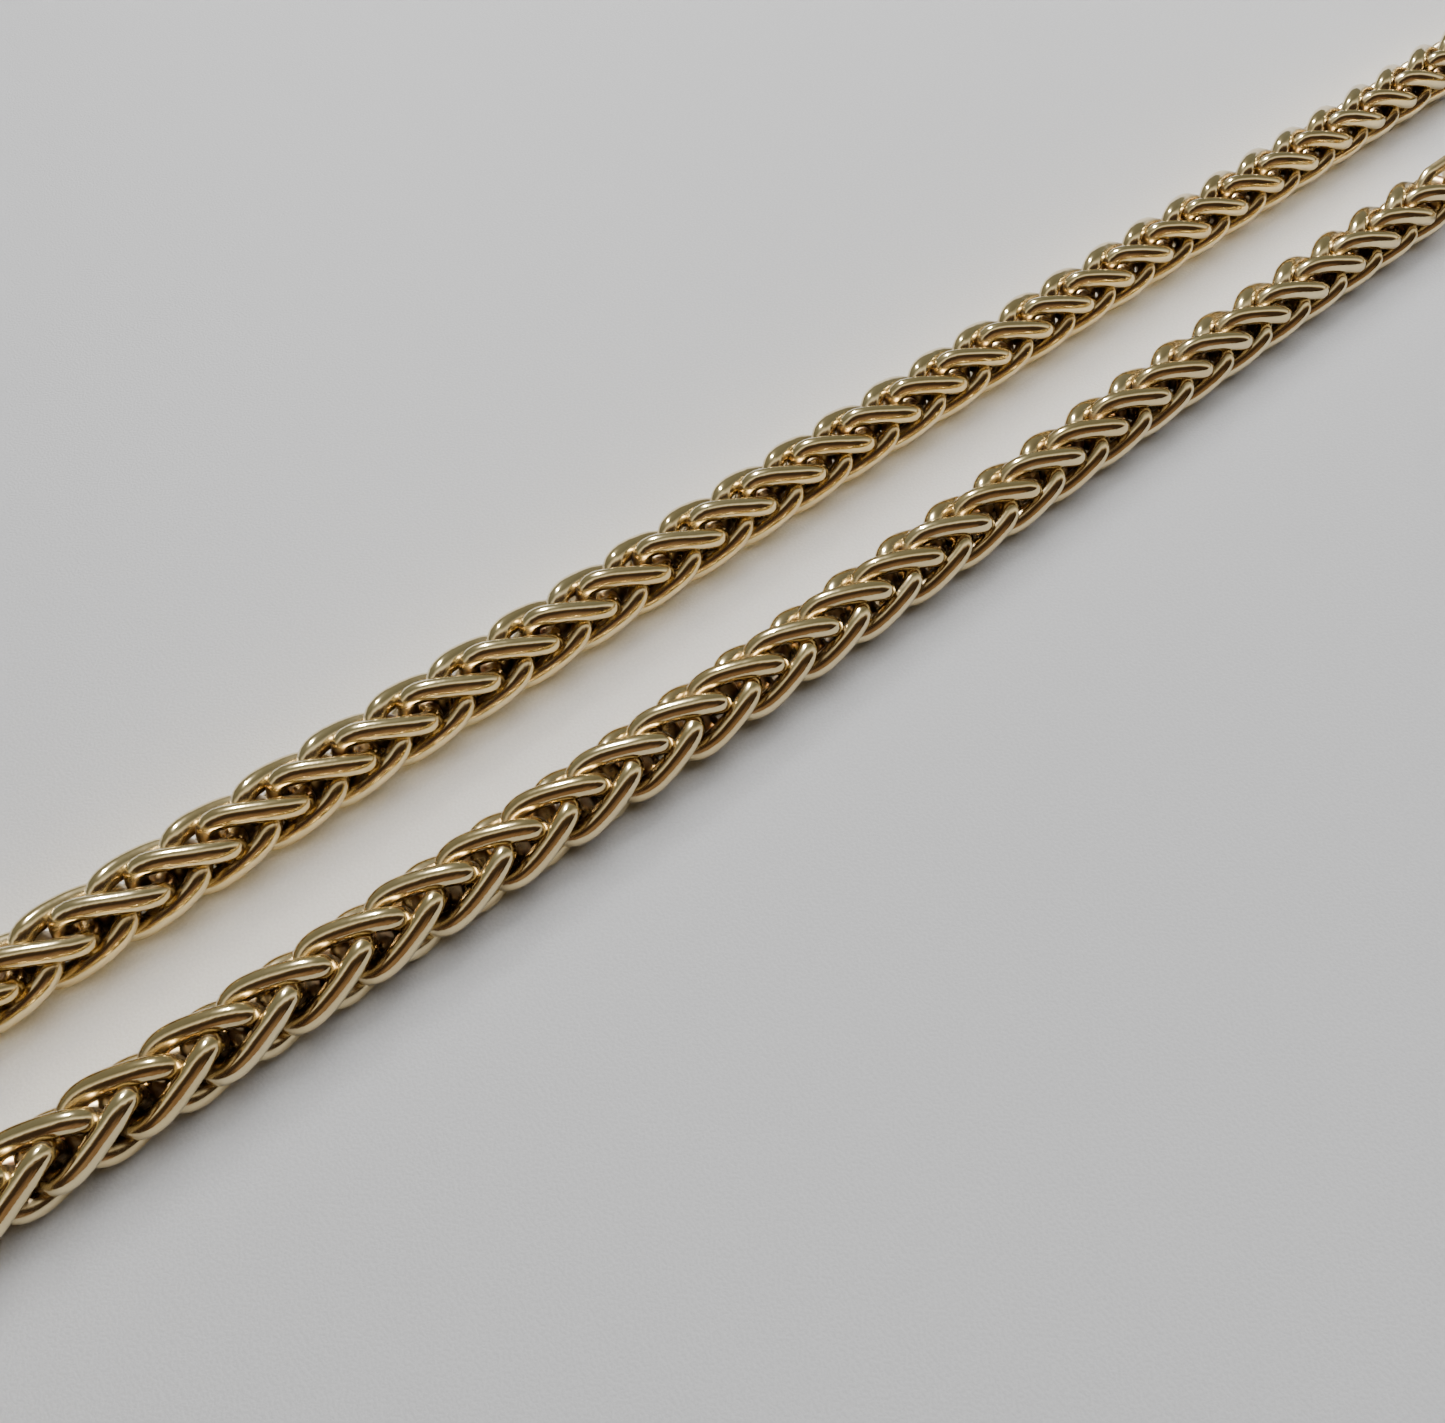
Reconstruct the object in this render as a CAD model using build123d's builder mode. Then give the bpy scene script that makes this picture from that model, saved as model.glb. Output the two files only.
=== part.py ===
from build123d import *
import math
import os

# A wheat chain necklace in pale gold, closed by a clasp and lying flat in a long loop.
# X runs along the two straight strands, Y across them and Z up. All lengths are millimetres.

# The weave: two mirrored kinds of twisted oval link, each half a pitch after the last
chain_width = 6.5
link_wire = 1.33
hook_clearance = 0.12
link_twist = 70.0
# Corners of half a link: share of its length, share of its half width
link_corners = [(0.0, 0.85), (0.15, 1.02), (0.5, 0.9), (0.85, 1.02), (1.0, 0.85)]
# Share of each run between two corners that their arcs leave straight
link_straight = 0.1

# The route of the chain's axis, from the clasp round the far strand and back along the near one
route_points = [
    (169.0, -32.0),
    (180.5, -32.2),
    (190.4, -22.6),
    (190.4, -9.9),
    (180.5, 0.0),
    (-19.6, 0.0),
    (-37.2, 12.3),
    (-53.9, 7.8),
    (-61.2, -7.9),
    (-53.9, -23.6),
    (-37.2, -28.1),
    (-19.6, -14.2),
    (30.0, -15.3),
    (72.0, -14.9),
    (108.0, -14.1),
    (149.0, -13.8),
]
route_straight = 0.04
# How far the weave is rolled about the axis: share of the route, degrees
roll_stations = [(0.0, 13.0), (0.47, 13.0), (0.7, 14.0), (1.0, 78.0)]
# A link whose ends differ less than this in heading, in degrees, stays straight
straight_turn = 0.6
# The far strand's node has this share of the links
far_share = 0.57

# The end rings and the clasp
ring_wire = 1.3
ring_length = 9.0
ring_corners = [(0.0, 0.6), (0.12, 1.0), (0.88, 1.0), (1.0, 0.6)]
clasp_thickness = 2.0
eye_hole = 2.6
eye_wall = 1.5
claw_hole = 3.8
claw_wall = 1.7
claw_opening = 7.5
clasp_edge = 0.45

quarter_turn = 90
# Two link ends cross the axis in each half pitch, and a link hooks the one a pitch before it
hook_step = link_wire + hook_clearance
half_pitch = 2 * hook_step
link_length = 2 * half_pitch + hook_step
axis_height = chain_width / 2


def corner_radii(points, straight_share):
    """Radii of the arcs that round a run of points, so that a share of each run stays straight."""
    radii = []
    last = len(points) - 2
    for index in range(1, len(points) - 1):
        before = points[index - 1] - points[index]
        after = points[index + 1] - points[index]
        # The first and last runs belong to this corner alone
        room = min(before.length * (2 if index == 1 else 1), after.length * (2 if index == last else 1))
        half_turn = math.radians(180 - before.get_angle(after)) / 2
        radii.append((1 - straight_share) / 2 * room / math.tan(half_turn))
    return radii


def looped_wire(near_half, far_half, wire):
    """One closed ring of round wire, from two halves that meet end to end."""
    with BuildPart() as ring:
        for half in (near_half, far_half):
            with BuildLine() as path:
                FilletPolyline(*half, radius=corner_radii(half, link_straight))
            centre_line = path.wires()[0]
            with BuildSketch(Plane(origin=centre_line @ 0, z_dir=centre_line % 0)):
                Circle(wire / 2)
            sweep(path=centre_line)
    return ring.part


def ring_halves(corners, length, half_width, twist, place):
    """The two halves of a ring's centre line: its corners, turned about the axis and put in place."""
    halves = []
    for side in (1, -1):
        half = []
        for along, across in [(0.0, 0.0)] + corners + [(1.0, 0.0)]:
            turn = math.radians(twist * (along - 0.5))
            reach = side * across * half_width
            half.append(place(along * length, reach * math.cos(turn), reach * math.sin(turn)))
        halves.append(half)
    return halves


# The route, with arcs for corners
route_corners = [Vector(x, y, axis_height) for x, y in route_points]
with BuildLine() as route_line:
    FilletPolyline(*route_corners, radius=corner_radii(route_corners, route_straight))
route = route_line.wires()[0]
link_count = int((route.length - link_length) / half_pitch) + 1


def station(distance):
    """The plane across the chain at a distance along the route: its x_dir is the chain's left."""
    share = distance / route.length
    heading = route % share
    return Plane(origin=route @ share, x_dir=Vector(0, 0, 1).cross(heading), z_dir=heading)


def roll_at(distance):
    """The weave's roll at a distance along the route, in degrees."""
    share = distance / route.length
    for (start, roll), (stop, next_roll) in zip(roll_stations, roll_stations[1:]):
        if share <= stop:
            return roll + (next_roll - roll) * (share - start) / (stop - start)
    return roll_stations[-1][1]


def follow_route(start, roll):
    """A placing function that lays lengths along the route and turns the section by the roll."""
    turn = math.radians(roll)

    def place(along, left, up):
        plane = station(start + along)
        sideways = left * math.cos(turn) - up * math.sin(turn)
        upward = left * math.sin(turn) + up * math.cos(turn)
        return plane.origin + plane.x_dir * sideways + Vector(0, 0, 1) * upward

    return place


def place_straight(along, left, up):
    """A placing function along a straight axis."""
    return Vector(along, left, up)


half_width = (chain_width - link_wire) / 2
straight_links = {
    hand: looped_wire(
        *ring_halves(link_corners, link_length, half_width, hand * link_twist, place_straight), link_wire
    )
    for hand in (1, -1)
}


def hand_of(index):
    """Which of the two mirrored kinds a link is."""
    return 1 if index % 2 == 0 else -1


def woven_link(index):
    """The link at a place in the weave: a copy of a straight one, or one bent to the route."""
    hand = hand_of(index)
    start = index * half_pitch
    # Both kinds begin in one plane, and end in the plane a quarter turn from it
    middle_roll = roll_at(start) + hand * quarter_turn / 2
    begin, end = station(start), station(start + link_length)
    if begin.z_dir.get_angle(end.z_dir) < straight_turn:
        chord = end.origin - begin.origin
        along = Plane(origin=begin.origin, x_dir=chord, z_dir=(0, 0, 1))
        return straight_links[hand].moved(along.location * Location((0, 0, 0), (middle_roll, 0, 0)))
    halves = ring_halves(
        link_corners, link_length, half_width, hand * link_twist, follow_route(start, middle_roll)
    )
    return looped_wire(*halves, link_wire)


links = [woven_link(index) for index in range(link_count)]
far_count = int(link_count * far_share)

# The end rings stand upright in the last two links at each end of the weave
ring_half_width = (chain_width - ring_wire) / 2


def end_ring(axis_point, heading, roll):
    """An upright oval ring that starts across the axis and reaches along the heading."""
    left = Vector(0, 0, 1).cross(heading)
    turn = math.radians(roll)

    def place(along, sideways, upward):
        across = left * (sideways * math.cos(turn) - upward * math.sin(turn))
        height = Vector(0, 0, 1) * (sideways * math.sin(turn) + upward * math.cos(turn))
        return axis_point + heading * along + across + height

    halves = ring_halves(ring_corners, ring_length, ring_half_width, 0.0, place)
    return looped_wire(*halves, ring_wire), axis_point + heading * ring_length


# The rings stand where the next link of the weave would, which turns by less than a quarter
spare_turn = (quarter_turn - link_twist) / 2
weave_length = (link_count - 1) * half_pitch + link_length
near_start = station(link_count * half_pitch)
far_start = station(weave_length - link_count * half_pitch)
near_roll = roll_at(route.length) - hand_of(link_count - 1) * spare_turn
far_roll = quarter_turn - roll_at(0) - hand_of(0) * spare_turn
near_ring, near_tip = end_ring(near_start.origin, near_start.z_dir, near_roll)
far_ring, far_tip = end_ring(far_start.origin, far_start.z_dir * -1, far_roll)

# The clasp lies between the tips of the rings: a plain flat body with an eye and a claw opening
reach = far_tip - near_tip
eye_radius = eye_hole / 2 + eye_wall
claw_radius = claw_hole / 2 + claw_wall
with BuildPart() as clasp:
    with BuildSketch(Plane(origin=near_tip, x_dir=reach, z_dir=(0, 0, 1))):
        Circle(eye_radius)
        with Locations((reach.length, 0)):
            Circle(claw_radius)
        make_hull()
        Circle(eye_hole / 2, mode=Mode.SUBTRACT)
        with Locations((reach.length - claw_opening / 2, 0)):
            SlotCenterToCenter(claw_opening, claw_hole, mode=Mode.SUBTRACT)
    extrude(amount=clasp_thickness / 2, both=True)
    rims = clasp.faces().filter_by(Axis.Z).edges()
    fillet(rims, clasp_edge)

pieces = {
    "chain_far": Compound(links[:far_count]),
    "chain_near": Compound(links[far_count:]),
    "end_ring_far": far_ring,
    "end_ring_near": near_ring,
    "clasp": clasp.part,
}
# The origin is under the middle of the whole necklace, on the surface that it lies on
whole = Compound(list(pieces.values())).bounding_box()
to_origin = Location((-whole.center().X, -whole.center().Y, -whole.min.Z))

os.makedirs("parts", exist_ok=True)
for name, piece in pieces.items():
    placed = piece.moved(to_origin)
    placed.label = name
    export_step(placed, f"parts/{name}.step")

print("links", link_count, "weave length", round(weave_length, 1), "clasp reach", round(reach.length, 2))
print("route radii", [round(radius, 1) for radius in corner_radii(route_corners, route_straight)])
print("origin shift", to_origin.position)
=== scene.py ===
import bpy
import math
from mathutils import Matrix, Vector


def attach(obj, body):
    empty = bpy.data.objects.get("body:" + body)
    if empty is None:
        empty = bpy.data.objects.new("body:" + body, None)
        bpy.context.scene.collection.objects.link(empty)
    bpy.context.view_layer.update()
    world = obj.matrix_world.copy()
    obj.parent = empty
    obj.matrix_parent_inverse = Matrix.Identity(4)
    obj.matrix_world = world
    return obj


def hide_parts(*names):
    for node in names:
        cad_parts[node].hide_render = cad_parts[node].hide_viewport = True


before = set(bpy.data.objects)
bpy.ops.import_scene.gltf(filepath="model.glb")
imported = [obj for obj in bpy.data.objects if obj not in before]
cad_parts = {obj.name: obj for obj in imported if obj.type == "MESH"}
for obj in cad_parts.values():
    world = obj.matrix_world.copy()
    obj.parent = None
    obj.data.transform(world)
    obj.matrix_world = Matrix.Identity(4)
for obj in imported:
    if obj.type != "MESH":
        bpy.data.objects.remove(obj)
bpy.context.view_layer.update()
mm = 0.001
print("frame loaded")


def addNode(tree, kind, settings=None, **values):
    node = tree.nodes.new(kind)
    for name, value in (settings or {}).items():
        setattr(node, name, value)
    for name, value in values.items():
        socket = findInput(node, name)
        if isinstance(value, bpy.types.NodeSocket):
            tree.links.new(value, socket)
        else:
            socket.default_value = value
    return node


def findInput(node, name):
    if name.startswith("in") and name[2:].isdigit():
        return node.inputs[int(name[2:])]
    wanted = name.replace("_", " ").lower()
    for socket in node.inputs:
        if socket.name.lower() == wanted and socket.enabled:
            return socket
    raise KeyError(node.bl_idname + " has no input " + name)


def mathNode(tree, operation, first, second=0.0, third=0.0):
    node = addNode(tree, "ShaderNodeMath", {"operation": operation}, in0=first, in1=second, in2=third)
    return node.outputs[0]


def vectorNode(tree, operation, **values):
    return addNode(tree, "ShaderNodeVectorMath", {"operation": operation}, **values).outputs


def randomNode(tree, low, high, seed, **more):
    node = addNode(tree, "FunctionNodeRandomValue", {"data_type": "FLOAT"},
                   in2=low, in3=high, Seed=seed, **more)
    return node.outputs[1]


def storeNode(tree, shape, name, value, domain):
    node = addNode(tree, "GeometryNodeStoreNamedAttribute", {"data_type": "FLOAT", "domain": domain},
                   Geometry=shape, Name=name, Value=value)
    return node.outputs[0]


def noiseNode(tree, place, scale, detail):
    return addNode(tree, "ShaderNodeTexNoise", {}, Vector=place, Scale=scale, Detail=detail).outputs["Fac"]


def rangeNode(tree, value, low, high, bottom=0.0, top=1.0):
    node = addNode(tree, "ShaderNodeMapRange", {}, Value=value, From_Min=low, From_Max=high,
                   To_Min=bottom, To_Max=top)
    return node.outputs[0]


def mixNode(tree, share, first, second):
    first, second = ((*tone, 1) if isinstance(tone, tuple) else tone for tone in (first, second))
    node = addNode(tree, "ShaderNodeMix", {"data_type": "RGBA"}, in0=share, in6=first, in7=second)
    return node.outputs[2]


# The chain: sizes and places in mm, turns in degrees
chain = {
    "width": 6.5,
    "wire": 1.73,
    # two links start in each pitch, and a link is about this long between the middles of its wire
    "pitch": 5.8,
    "linkLength": 7.25,
    # how far a link turns about the axis from its tail to its head
    "twist": 90.0,
    # the axis from the clasp along the far strand and back along the near one, and its way to the origin
    "route": [
        (169.0, -32.0), (180.5, -32.2), (190.3, -22.6), (190.3, -9.9), (180.5, 0.0),
        (-19.6, 0.0), (-37.2, 12.3), (-53.9, 7.8), (-61.2, -7.9), (-53.9, -23.6), (-37.2, -28.1),
        (-19.6, -13.8), (30.0, -15.05), (72.0, -14.65), (108.0, -13.9), (149.0, -13.75),
    ],
    "shift": (-65.4845, 10.8461, -0.0195),
    # the part of a run that the arc of a corner takes, half at the most, and the points in an arc
    "softness": 0.48,
    "arcPoints": 40,
    # half of a link: share of its length, share of its half width; it starts at the tail
    "corners": [(-0.02, 0.42), (0.08, 0.84), (0.3, 0.985), (0.7, 0.99), (0.92, 0.93), (1.0, 0.5)],
    # roll of the weave: share of the route, degrees
    "rolls": [(0.0, -14.0), (0.12, -8.0), (0.3, 16.0), (0.48, 18.0), (0.6, 18.0), (0.7, 18.0), (1.0, 92.0)],
    # how fine a link is: steps of its smooth line, rings along its wire, sides round it
    "lineSteps": 12,
    "stations": 56,
    "sides": 14,
    # how far chance turns and shifts each link
    "looseTurn": 2.2,
    "looseShift": 0.08,
    "seed": 7,
}

# Which links each piece holds: first link, how many, and the CAD node that it stands for
weavePieces = {
    "farWeave": {"first": 0, "count": 102, "node": "chain_far"},
    "nearWeave": {"first": 102, "count": 77, "node": "chain_near"},
}


# Radii of the arcs that round the route's corners. The first and last runs belong to one corner alone.
def cornerRadii(points, softness):
    radii = []
    last = len(points) - 2
    for index in range(1, len(points) - 1):
        before = points[index - 1] - points[index]
        after = points[index + 1] - points[index]
        room = min(before.length * (2 if index == 1 else 1), after.length * (2 if index == last else 1))
        halfTurn = (math.pi - before.angle(after)) / 2
        radii.append(softness * room / math.tan(halfTurn))
    return radii


def makeRoute():
    shift = Vector(chain["shift"])
    height = chain["width"] / 2
    points = [(Vector((x, y, height)) + shift) * mm for x, y in chain["route"]]
    radii = [0.0] + cornerRadii(points, chain["softness"]) + [0.0]
    data = bpy.data.curves.new("chainRoute", "CURVE")
    data.dimensions = "3D"
    spline = data.splines.new("POLY")
    spline.points.add(len(points) - 1)
    for knot, point, radius in zip(spline.points, points, radii):
        knot.co = (*point, 1.0)
        knot.radius = radius
    return linkedObject("chainRoute", data)


def linkedObject(name, data):
    made = bpy.data.objects.new(name, data)
    bpy.context.scene.collection.objects.link(made)
    return made


def makeLinkLine():
    halfWidth = (chain["width"] - chain["wire"]) / 2
    table = chain["corners"]
    around = table + [(along, -across) for along, across in reversed(table)]
    data = bpy.data.curves.new("linkLine", "CURVE")
    data.dimensions = "3D"
    spline = data.splines.new("NURBS")
    spline.points.add(len(around) - 1)
    for knot, (along, across) in zip(spline.points, around):
        turn = math.radians(chain["twist"] * (along - 0.5))
        reach = across * halfWidth
        forward = along * chain["linkLength"] * mm
        knot.co = (forward, reach * math.cos(turn) * mm, reach * math.sin(turn) * mm, 1.0)
    spline.order_u = 3
    spline.use_cyclic_u = True
    data.resolution_u = chain["lineSteps"]
    return linkedObject("linkLine", data)


def weaveTree():
    tree = bpy.data.node_groups.new("wheatWeave", "GeometryNodeTree")
    face = tree.interface
    face.new_socket(name="Geometry", in_out="INPUT", socket_type="NodeSocketGeometry")
    for name, kind in (
        ("Route", "NodeSocketObject"), ("First Link", "NodeSocketInt"),
        ("Link Count", "NodeSocketInt"), ("Half Pitch", "NodeSocketFloat"),
        ("Wire Radius", "NodeSocketFloat"), ("Chain Radius", "NodeSocketFloat"),
        ("Stations", "NodeSocketInt"), ("Sides", "NodeSocketInt"),
        ("Loose Turn", "NodeSocketFloat"), ("Loose Shift", "NodeSocketFloat"),
        ("Seed", "NodeSocketInt"), ("Finish", "NodeSocketMaterial"),
    ):
        face.new_socket(name=name, in_out="INPUT", socket_type=kind)
    face.new_socket(name="Geometry", in_out="OUTPUT", socket_type="NodeSocketGeometry")
    given = tree.nodes.new("NodeGroupInput").outputs

    # one link of each hand, the left one a mirror image
    line = addNode(tree, "GeometryNodeResampleCurve", {}, Curve=given["Geometry"], Count=given["Stations"])
    section = addNode(tree, "GeometryNodeCurvePrimitiveCircle", {}, Resolution=given["Sides"],
                      Radius=given["Wire Radius"])
    rightHand = addNode(tree, "GeometryNodeCurveToMesh", {}, Curve=line.outputs[0],
                        Profile_Curve=section.outputs[0]).outputs[0]
    mirrored = addNode(tree, "GeometryNodeTransform", {}, Geometry=rightHand, Scale=(1, 1, -1))
    leftHand = addNode(tree, "GeometryNodeFlipFaces", {}, Mesh=mirrored.outputs[0]).outputs[0]

    # the places along the chain, and the roll there
    index = addNode(tree, "GeometryNodeInputIndex").outputs[0]
    number = mathNode(tree, "ADD", index, given["First Link"])
    distance = mathNode(tree, "MULTIPLY", number, given["Half Pitch"])
    spots = addNode(tree, "GeometryNodeMeshLine", {}, Count=given["Link Count"])
    route = addNode(tree, "GeometryNodeObjectInfo", {"transform_space": "ORIGINAL"}, Object=given["Route"])
    radius = addNode(tree, "GeometryNodeInputRadius").outputs[0]
    path = addNode(tree, "GeometryNodeFilletCurve", {"mode": "POLY"}, Curve=route.outputs["Geometry"],
                   Count=chain["arcPoints"], Radius=radius).outputs[0]
    length = addNode(tree, "GeometryNodeCurveLength", {}, Curve=path).outputs[0]
    share = mathNode(tree, "DIVIDE", distance, length)
    rolls = chain["rolls"]
    roll = math.radians(rolls[0][1])
    for (begin, before), (end, after) in zip(rolls, rolls[1:]):
        if after != before:
            step = rangeNode(tree, share, begin, end, 0.0, math.radians(after - before))
            roll = mathNode(tree, "ADD", step, roll)

    # the hands take turns, an eighth of a turn to either side, and chance loosens each link a little
    isRight = mathNode(tree, "COMPARE", mathNode(tree, "MODULO", number, 2.0), 0.0, 0.5)
    hand = mathNode(tree, "MULTIPLY_ADD", isRight, 2.0, -1.0)
    turned = mathNode(tree, "MULTIPLY_ADD", hand, math.radians(45), roll)
    negLoose = mathNode(tree, "MULTIPLY", given["Loose Turn"], -1.0)
    wobble = randomNode(tree, negLoose, given["Loose Turn"], given["Seed"], ID=number)
    turned = mathNode(tree, "ADD", turned, wobble)
    negShift = mathNode(tree, "MULTIPLY", given["Loose Shift"], -1.0)
    slipSeed = mathNode(tree, "ADD", given["Seed"], 1.0)
    slip = randomNode(tree, negShift, given["Loose Shift"], slipSeed, ID=number)
    along = mathNode(tree, "ADD", distance, slip)
    place = addNode(tree, "ShaderNodeCombineXYZ", {}, X=along).outputs[0]
    spots = addNode(tree, "GeometryNodeSetPosition", {}, Geometry=spots.outputs[0],
                    Position=place).outputs[0]
    turn = addNode(tree, "ShaderNodeCombineXYZ", {}, X=turned).outputs[0]
    rights = addNode(tree, "GeometryNodeInstanceOnPoints", {}, Points=spots, Selection=isRight,
                     Instance=rightHand, Rotation=turn).outputs[0]
    isLeft = mathNode(tree, "SUBTRACT", 1.0, isRight)
    lefts = addNode(tree, "GeometryNodeInstanceOnPoints", {}, Points=spots, Selection=isLeft,
                    Instance=leftHand, Rotation=turn).outputs[0]
    both = tree.nodes.new("GeometryNodeJoinGeometry")
    tree.links.new(rights, both.inputs[0])
    tree.links.new(lefts, both.inputs[0])
    linkTone = randomNode(tree, 0.0, 1.0, mathNode(tree, "ADD", given["Seed"], 2.0))
    both = storeNode(tree, both.outputs[0], "linkTone", linkTone, "INSTANCE")
    woven = addNode(tree, "GeometryNodeRealizeInstances", {}, Geometry=both).outputs[0]

    # how far each point stands out from the axis, kept for the finish, which darkens the deep parts as
    # painted shade along with tarnish
    position = addNode(tree, "GeometryNodeInputPosition").outputs[0]
    parts = addNode(tree, "ShaderNodeSeparateXYZ", {}, Vector=position).outputs
    heightSquare = mathNode(tree, "MULTIPLY", parts["Z"], parts["Z"])
    square = mathNode(tree, "MULTIPLY_ADD", parts["Y"], parts["Y"], heightSquare)
    standing = mathNode(tree, "DIVIDE", mathNode(tree, "SQRT", square), given["Chain Radius"])
    woven = storeNode(tree, woven, "standing", standing, "POINT")

    # the straight weave bent to the route
    howSampled = {"mode": "LENGTH", "use_all_curves": True, "data_type": "FLOAT"}
    sample = addNode(tree, "GeometryNodeSampleCurve", howSampled, Curves=path, Length=parts["X"]).outputs
    across = vectorNode(tree, "CROSS_PRODUCT", in0=(0, 0, 1), in1=sample["Tangent"])[0]
    across = vectorNode(tree, "NORMALIZE", in0=across)[0]
    sideways = vectorNode(tree, "SCALE", in0=across, Scale=parts["Y"])[0]
    upward = addNode(tree, "ShaderNodeCombineXYZ", {}, Z=parts["Z"]).outputs[0]
    offset = vectorNode(tree, "ADD", in0=sideways, in1=upward)[0]
    bent = vectorNode(tree, "ADD", in0=sample["Position"], in1=offset)[0]
    woven = addNode(tree, "GeometryNodeSetPosition", {}, Geometry=woven, Position=bent).outputs[0]
    woven = addNode(tree, "GeometryNodeSetShadeSmooth", {}, Geometry=woven).outputs[0]
    woven = addNode(tree, "GeometryNodeRealizeInstances", {}, Geometry=woven).outputs[0]
    woven = addNode(tree, "GeometryNodeSetMaterial", {}, Geometry=woven,
                    Material=given["Finish"]).outputs[0]
    result = tree.nodes.new("NodeGroupOutput")
    tree.links.new(woven, result.inputs[0])
    return tree


def setInput(modifier, name, value):
    for item in modifier.node_group.interface.items_tree:
        if item.item_type == "SOCKET" and item.in_out == "INPUT" and item.name == name:
            modifier[item.identifier] = value


def bakedWeave(name, piece, tree, route, finish):
    maker = makeLinkLine()
    modifier = maker.modifiers.new("weave", "NODES")
    modifier.node_group = tree
    for socket, value in {
        "Route": route,
        "First Link": piece["first"],
        "Link Count": piece["count"],
        "Half Pitch": chain["pitch"] / 2 * mm,
        "Wire Radius": chain["wire"] / 2 * mm,
        "Chain Radius": chain["width"] / 2 * mm,
        "Stations": chain["stations"],
        "Sides": chain["sides"],
        "Loose Turn": math.radians(chain["looseTurn"]),
        "Loose Shift": chain["looseShift"] * mm,
        "Seed": chain["seed"],
        "Finish": finish,
    }.items():
        setInput(modifier, socket, value)
    graph = bpy.context.evaluated_depsgraph_get()
    graph.update()
    mesh = bpy.data.meshes.new_from_object(
        maker.evaluated_get(graph), preserve_all_data_layers=True, depsgraph=graph)
    bpy.data.objects.remove(maker)
    made = linkedObject(name, mesh)
    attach(made, "root")
    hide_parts(piece["node"])
    print(name, len(mesh.polygons), "faces")
    return made


# Gold: tone and roughness where it is rubbed bright, and where grime stays; in the weave the deep parts
# also take the dark tone as painted shade along with tarnish.
# Deep in the weave is a share of the chain's radius; waves are per metre.
goldFinishes = {
    # the weave's dark tone over its deep range is painted shade in the recesses, along with tarnish
    "weaveGold": {
        "tone": (0.80, 0.665, 0.385), "grimeAndShadeTone": (0.11, 0.055, 0.028), "smooth": 0.08, "dull": 0.42,
        "deepFrom": 0.87, "deepTo": 0.5, "waveScale": 420.0, "waveHeight": 0.07, "scratch": 0.004,
    },
    "ringGold": {
        "tone": (0.80, 0.665, 0.385), "grimeAndShadeTone": (0.30, 0.19, 0.09), "smooth": 0.14, "dull": 0.4,
        "waveScale": 500.0, "waveHeight": 0.05, "scratch": 0.006,
    },
    "claspGold": {
        "tone": (0.78, 0.655, 0.40), "grimeAndShadeTone": (0.34, 0.22, 0.10), "smooth": 0.16, "dull": 0.42,
        "waveScale": 300.0, "waveHeight": 0.04, "scratch": 0.012,
    },
}

# What all the gold shares: the warmer tint's share of the tone, patches of grime, fine wear, and hairs.
# Scales are waves per metre and the depth is metres.
goldWear = {
    "warmer": (0.97, 0.93, 0.86),
    "patchScale": 700.0, "patchDetail": 3.0, "patchFrom": 0.38, "patchTo": 0.66, "patchShare": 0.5,
    "fineScale": 2600.0, "fineDetail": 2.0, "fineShare": 0.16, "grimeShare": 0.9, "wornFrom": 0.05,
    "hairTurn": (0.3, 0.2, 0.9), "hairScale": (900.0, 9000.0, 9000.0), "hairDetail": 2.0,
    "waveDetail": 1.0, "depth": 0.001,
}


def goldFinish(name):
    look = goldFinishes[name]
    finish = bpy.data.materials.new(name)
    finish.use_nodes = True
    tree = finish.node_tree
    shader = tree.nodes["Principled BSDF"]
    shader.inputs["Metallic"].default_value = 1.0
    place = addNode(tree, "ShaderNodeTexCoord").outputs["Object"]
    cloud = noiseNode(tree, place, goldWear["patchScale"], goldWear["patchDetail"])
    patch = rangeNode(tree, cloud, goldWear["patchFrom"], goldWear["patchTo"])
    half = goldWear["patchShare"]
    # in the weave the dark tone goes to the parts deep toward the axis, as painted shade in the recesses
    # along with tarnish, stronger in the grime patches; on the rings and clasp it is grime in patches only
    if "deepFrom" in look:
        standing = addNode(tree, "ShaderNodeAttribute", {"attribute_name": "standing"}).outputs["Fac"]
        deep = rangeNode(tree, standing, look["deepFrom"], look["deepTo"])
        grimeAndShade = mathNode(tree, "MULTIPLY", deep, mathNode(tree, "MULTIPLY_ADD", patch, half, half))
        tint = addNode(tree, "ShaderNodeAttribute", {"attribute_name": "linkTone"}).outputs["Fac"]
    else:
        grimeAndShade = mathNode(tree, "MULTIPLY", patch, half)
        tint = cloud
    warmTone = tuple(part * share for part, share in zip(look["tone"], goldWear["warmer"]))
    bright = mixNode(tree, tint, look["tone"], warmTone)
    tree.links.new(mixNode(tree, grimeAndShade, bright, look["grimeAndShadeTone"]), shader.inputs["Base Color"])
    fine = noiseNode(tree, place, goldWear["fineScale"], goldWear["fineDetail"])
    stained = mathNode(tree, "MULTIPLY", grimeAndShade, goldWear["grimeShare"])
    worn = mathNode(tree, "MULTIPLY_ADD", fine, goldWear["fineShare"], stained)
    rough = rangeNode(tree, worn, goldWear["wornFrom"], 1.0, look["smooth"], look["dull"])
    tree.links.new(rough, shader.inputs["Roughness"])
    # gentle waves of handwork, with hair scratches over them
    waves = noiseNode(tree, place, look["waveScale"], goldWear["waveDetail"])
    combed = addNode(tree, "ShaderNodeMapping", {}, Vector=place, Rotation=goldWear["hairTurn"],
                     Scale=goldWear["hairScale"]).outputs[0]
    hairs = noiseNode(tree, combed, 1.0, goldWear["hairDetail"])
    hairs = mathNode(tree, "MULTIPLY", hairs, look["scratch"])
    relief = mathNode(tree, "MULTIPLY_ADD", waves, look["waveHeight"], hairs)
    bump = addNode(tree, "ShaderNodeBump", {}, Height=relief, Distance=goldWear["depth"]).outputs[0]
    tree.links.new(bump, shader.inputs["Normal"])
    return finish


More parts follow.
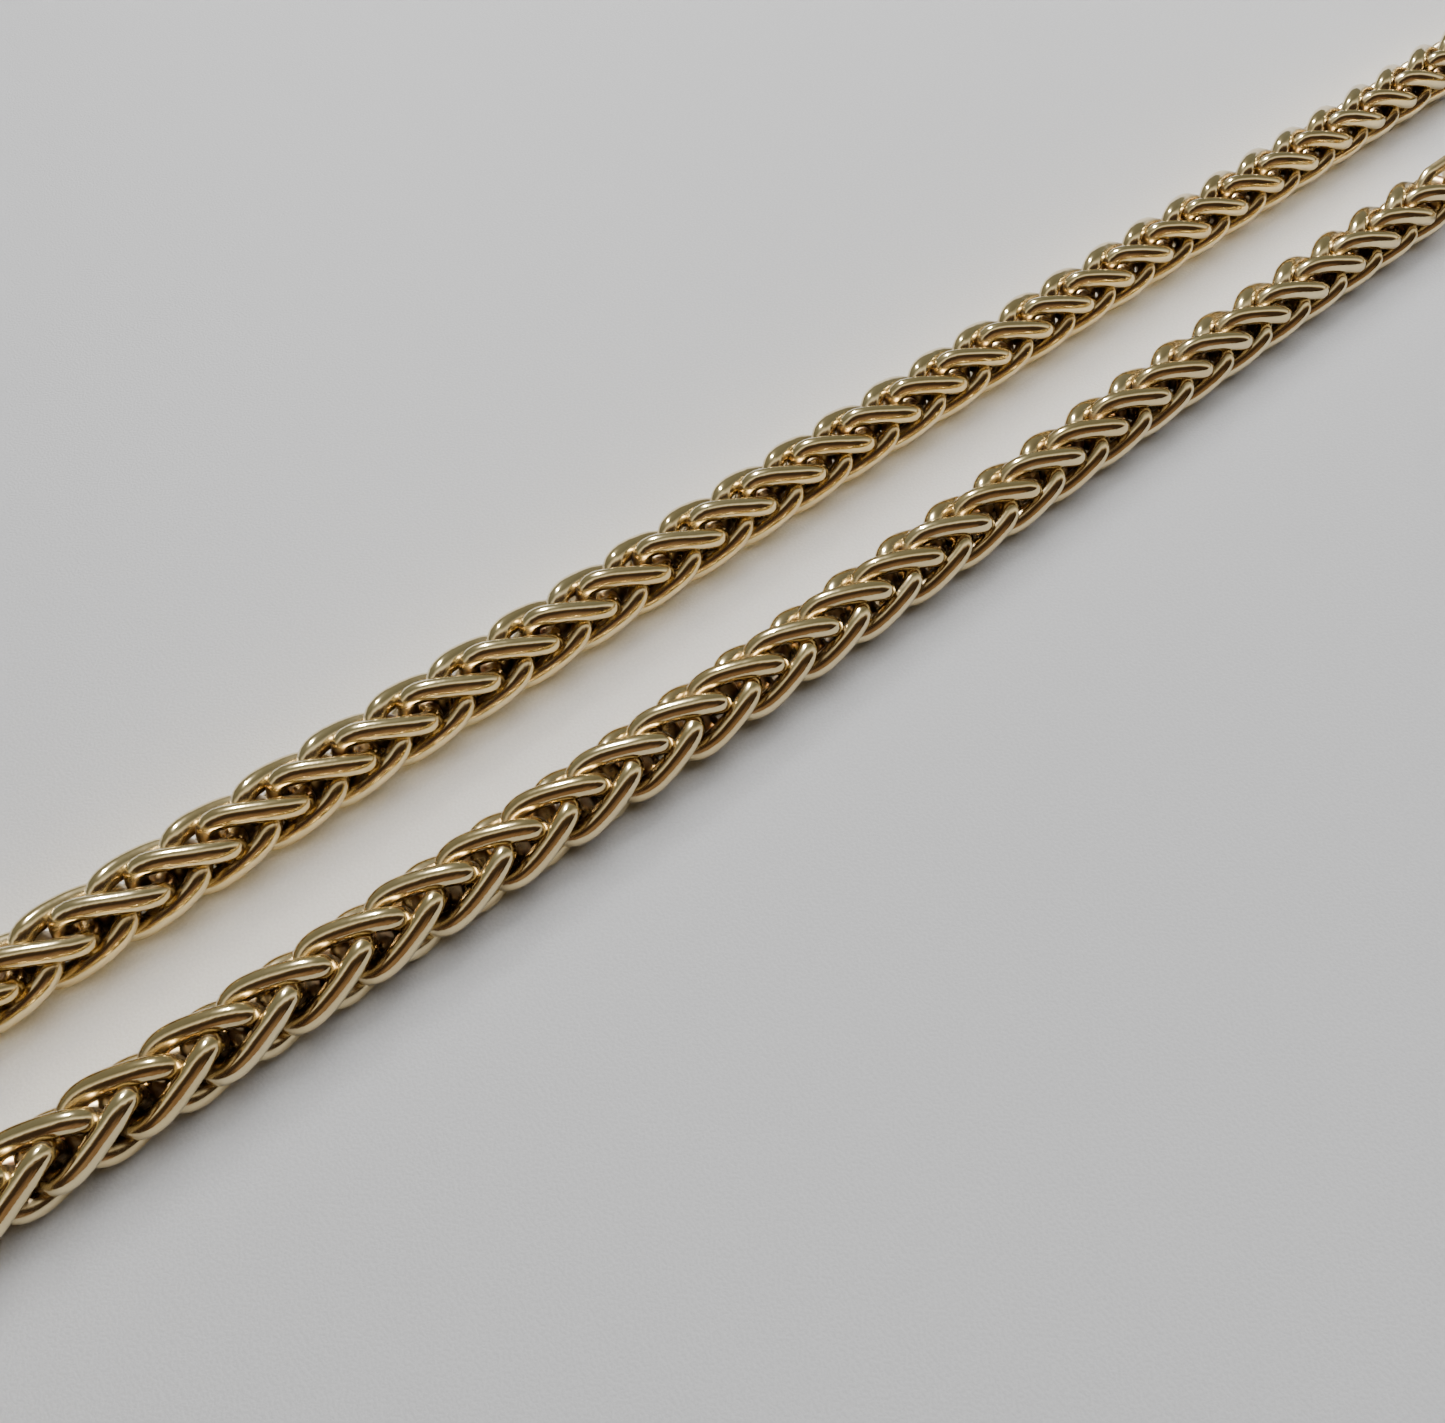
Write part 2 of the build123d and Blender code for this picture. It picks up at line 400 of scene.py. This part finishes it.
# The room that the gold reflects, which leaves the desk to the lights:
# a ramp from the far side, over a bright ceiling band, to the dark near side, with uneven blots
room = {
    "nearSide": (-0.30, -0.95, 0.0),
    "stops": [
        (0.0, (0.24, 0.24, 0.20)), (0.37, (0.20, 0.20, 0.16)), (0.47, (0.62, 0.60, 0.53)),
        (0.55, (1.15, 1.1, 0.98)), (0.63, (0.20, 0.14, 0.09)), (0.70, (0.05, 0.034, 0.024)),
        (0.86, (0.05, 0.032, 0.022)), (0.95, (0.26, 0.16, 0.10)), (1.0, (0.34, 0.25, 0.17)),
    ],
    "strength": 1.0,
    "unevenness": 0.16,
    "unevenScale": 2.2,
    "unevenDetail": 1.0,
}


def roomLight():
    world = bpy.data.worlds.new("room")
    bpy.context.scene.world = world
    world.use_nodes = True
    tree = world.node_tree
    ray = addNode(tree, "ShaderNodeTexCoord").outputs["Generated"]
    side = Vector(room["nearSide"]).normalized()
    near = vectorNode(tree, "DOT_PRODUCT", in0=ray, in1=side)["Value"]
    blot = noiseNode(tree, ray, room["unevenScale"], room["unevenDetail"])
    drift = mathNode(tree, "MULTIPLY_ADD", blot, room["unevenness"], 0.5 - room["unevenness"] / 2)
    ramp = addNode(tree, "ShaderNodeValToRGB", {}, in0=mathNode(tree, "MULTIPLY_ADD", near, 0.5, drift))
    marks = ramp.color_ramp.elements
    while len(marks) < len(room["stops"]):
        marks.new(0.5)
    for mark, (position, tone) in zip(marks, room["stops"]):
        mark.position = position
        mark.color = (*tone, 1)
    back = tree.nodes["Background"]
    tree.links.new(ramp.outputs["Color"], back.inputs["Color"])
    back.inputs["Strength"].default_value = room["strength"]
    world.cycles_visibility.diffuse = False


# Soft light for the whole desk, more of it on the right, and a small lamp for the sparks on the gold.
# Metres and watts, but a light with a spread, in degrees, comes from far off: watts per square metre.
lights = {
    "overheadLight": {
        "place": (0.18, -0.06, 0.55), "spread": 55.0, "power": 1.75, "onDesk": True, "onGold": False,
    },
    "softLight": {
        "place": (0.42, 0.2, 0.4), "size": 0.36, "power": 3.5, "onDesk": True, "onGold": False,
    },
    "sparkLamp": {
        "place": (0.20, 0.55, 0.68), "size": 0.065, "power": 100.0, "onDesk": False, "onGold": True,
    },
}


def addLights():
    for name, look in lights.items():
        data = bpy.data.lights.new(name, "SUN" if "spread" in look else "AREA")
        if "spread" in look:
            data.angle = math.radians(look["spread"])
        else:
            data.shape = "DISK"
            data.size = look["size"]
        data.energy = look["power"]
        lamp = linkedObject(name, data)
        lamp.location = look["place"]
        lamp.rotation_euler = (-Vector(look["place"])).to_track_quat("-Z", "Y").to_euler()
        lamp.visible_camera = False
        lamp.visible_diffuse = look["onDesk"]
        lamp.visible_glossy = look["onGold"]


# A plain pale desk: metres, and grain in waves per metre
desk = {
    "size": 3.0,
    "tone": (0.74, 0.74, 0.745),
    "grainTone": (0.69, 0.69, 0.695),
    "grainScale": 4200.0,
    "grainDetail": 4.0,
    "grainFrom": 0.35,
    "grainTo": 0.65,
    "grainDepth": 0.00003,
    "grainStrength": 0.5,
    "rough": 0.6,
    "gloss": 0.03,
}


def addDesk():
    bpy.ops.mesh.primitive_plane_add(size=desk["size"], location=(0, 0, 0))
    top = bpy.context.active_object
    top.name = "desk"
    finish = bpy.data.materials.new("deskTop")
    finish.use_nodes = True
    tree = finish.node_tree
    shader = tree.nodes["Principled BSDF"]
    place = addNode(tree, "ShaderNodeTexCoord").outputs["Object"]
    grain = noiseNode(tree, place, desk["grainScale"], desk["grainDetail"])
    spread = rangeNode(tree, grain, desk["grainFrom"], desk["grainTo"])
    tree.links.new(mixNode(tree, spread, desk["tone"], desk["grainTone"]), shader.inputs["Base Color"])
    shader.inputs["Roughness"].default_value = desk["rough"]
    shader.inputs["Specular IOR Level"].default_value = desk["gloss"]
    bump = addNode(tree, "ShaderNodeBump", {}, Height=spread, Distance=desk["grainDepth"],
                   Strength=desk["grainStrength"]).outputs[0]
    tree.links.new(bump, shader.inputs["Normal"])
    top.data.materials.append(finish)


# The photo's camera, fitted to the weave: width and focal length in the photo's pixels,
# place, sensor and nearest distance in mm, angles in degrees
photoView = {
    "width": 1445,
    "focal": 1500.0,
    "place": (-58.72, -61.87, 94.95),
    "heading": 53.09,
    "down": 52.15,
    "roll": -4.23,
    "sensor": 36.0,
    "nearest": 10.0,
}


def addCamera():
    heading, down, roll = (math.radians(photoView[key]) for key in ("heading", "down", "roll"))
    flat = math.cos(down)
    forward = Vector((flat * math.cos(heading), flat * math.sin(heading), -math.sin(down)))
    level = Vector((math.sin(heading), -math.cos(heading), 0))
    upright = level.cross(forward)
    right = level * math.cos(roll) + upright * math.sin(roll)
    up = upright * math.cos(roll) - level * math.sin(roll)
    data = bpy.data.cameras.new("camera")
    data.sensor_width = photoView["sensor"]
    data.lens = photoView["focal"] / photoView["width"] * photoView["sensor"]
    data.clip_start = photoView["nearest"] * mm
    camera = linkedObject("camera", data)
    turn = Matrix((right, up, -forward)).transposed().to_4x4()
    camera.matrix_world = Matrix.Translation(Vector(photoView["place"]) * mm) @ turn
    bpy.context.scene.camera = camera


addCamera()
roomLight()
addLights()
addDesk()
print("camera, room, lights and desk made")

weaveGold = goldFinish("weaveGold")
route = makeRoute()
tree = weaveTree()
for name, piece in weavePieces.items():
    bakedWeave(name, piece, tree, route, weaveGold)
bpy.data.objects.remove(route)
print("weave baked")

for name, gold in (("end_ring_near", "ringGold"), ("end_ring_far", "ringGold"), ("clasp", "claspGold")):
    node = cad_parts[name]
    node.data.materials.clear()
    node.data.materials.append(bpy.data.materials.get(gold) or goldFinish(gold))
print("rings and clasp finished")
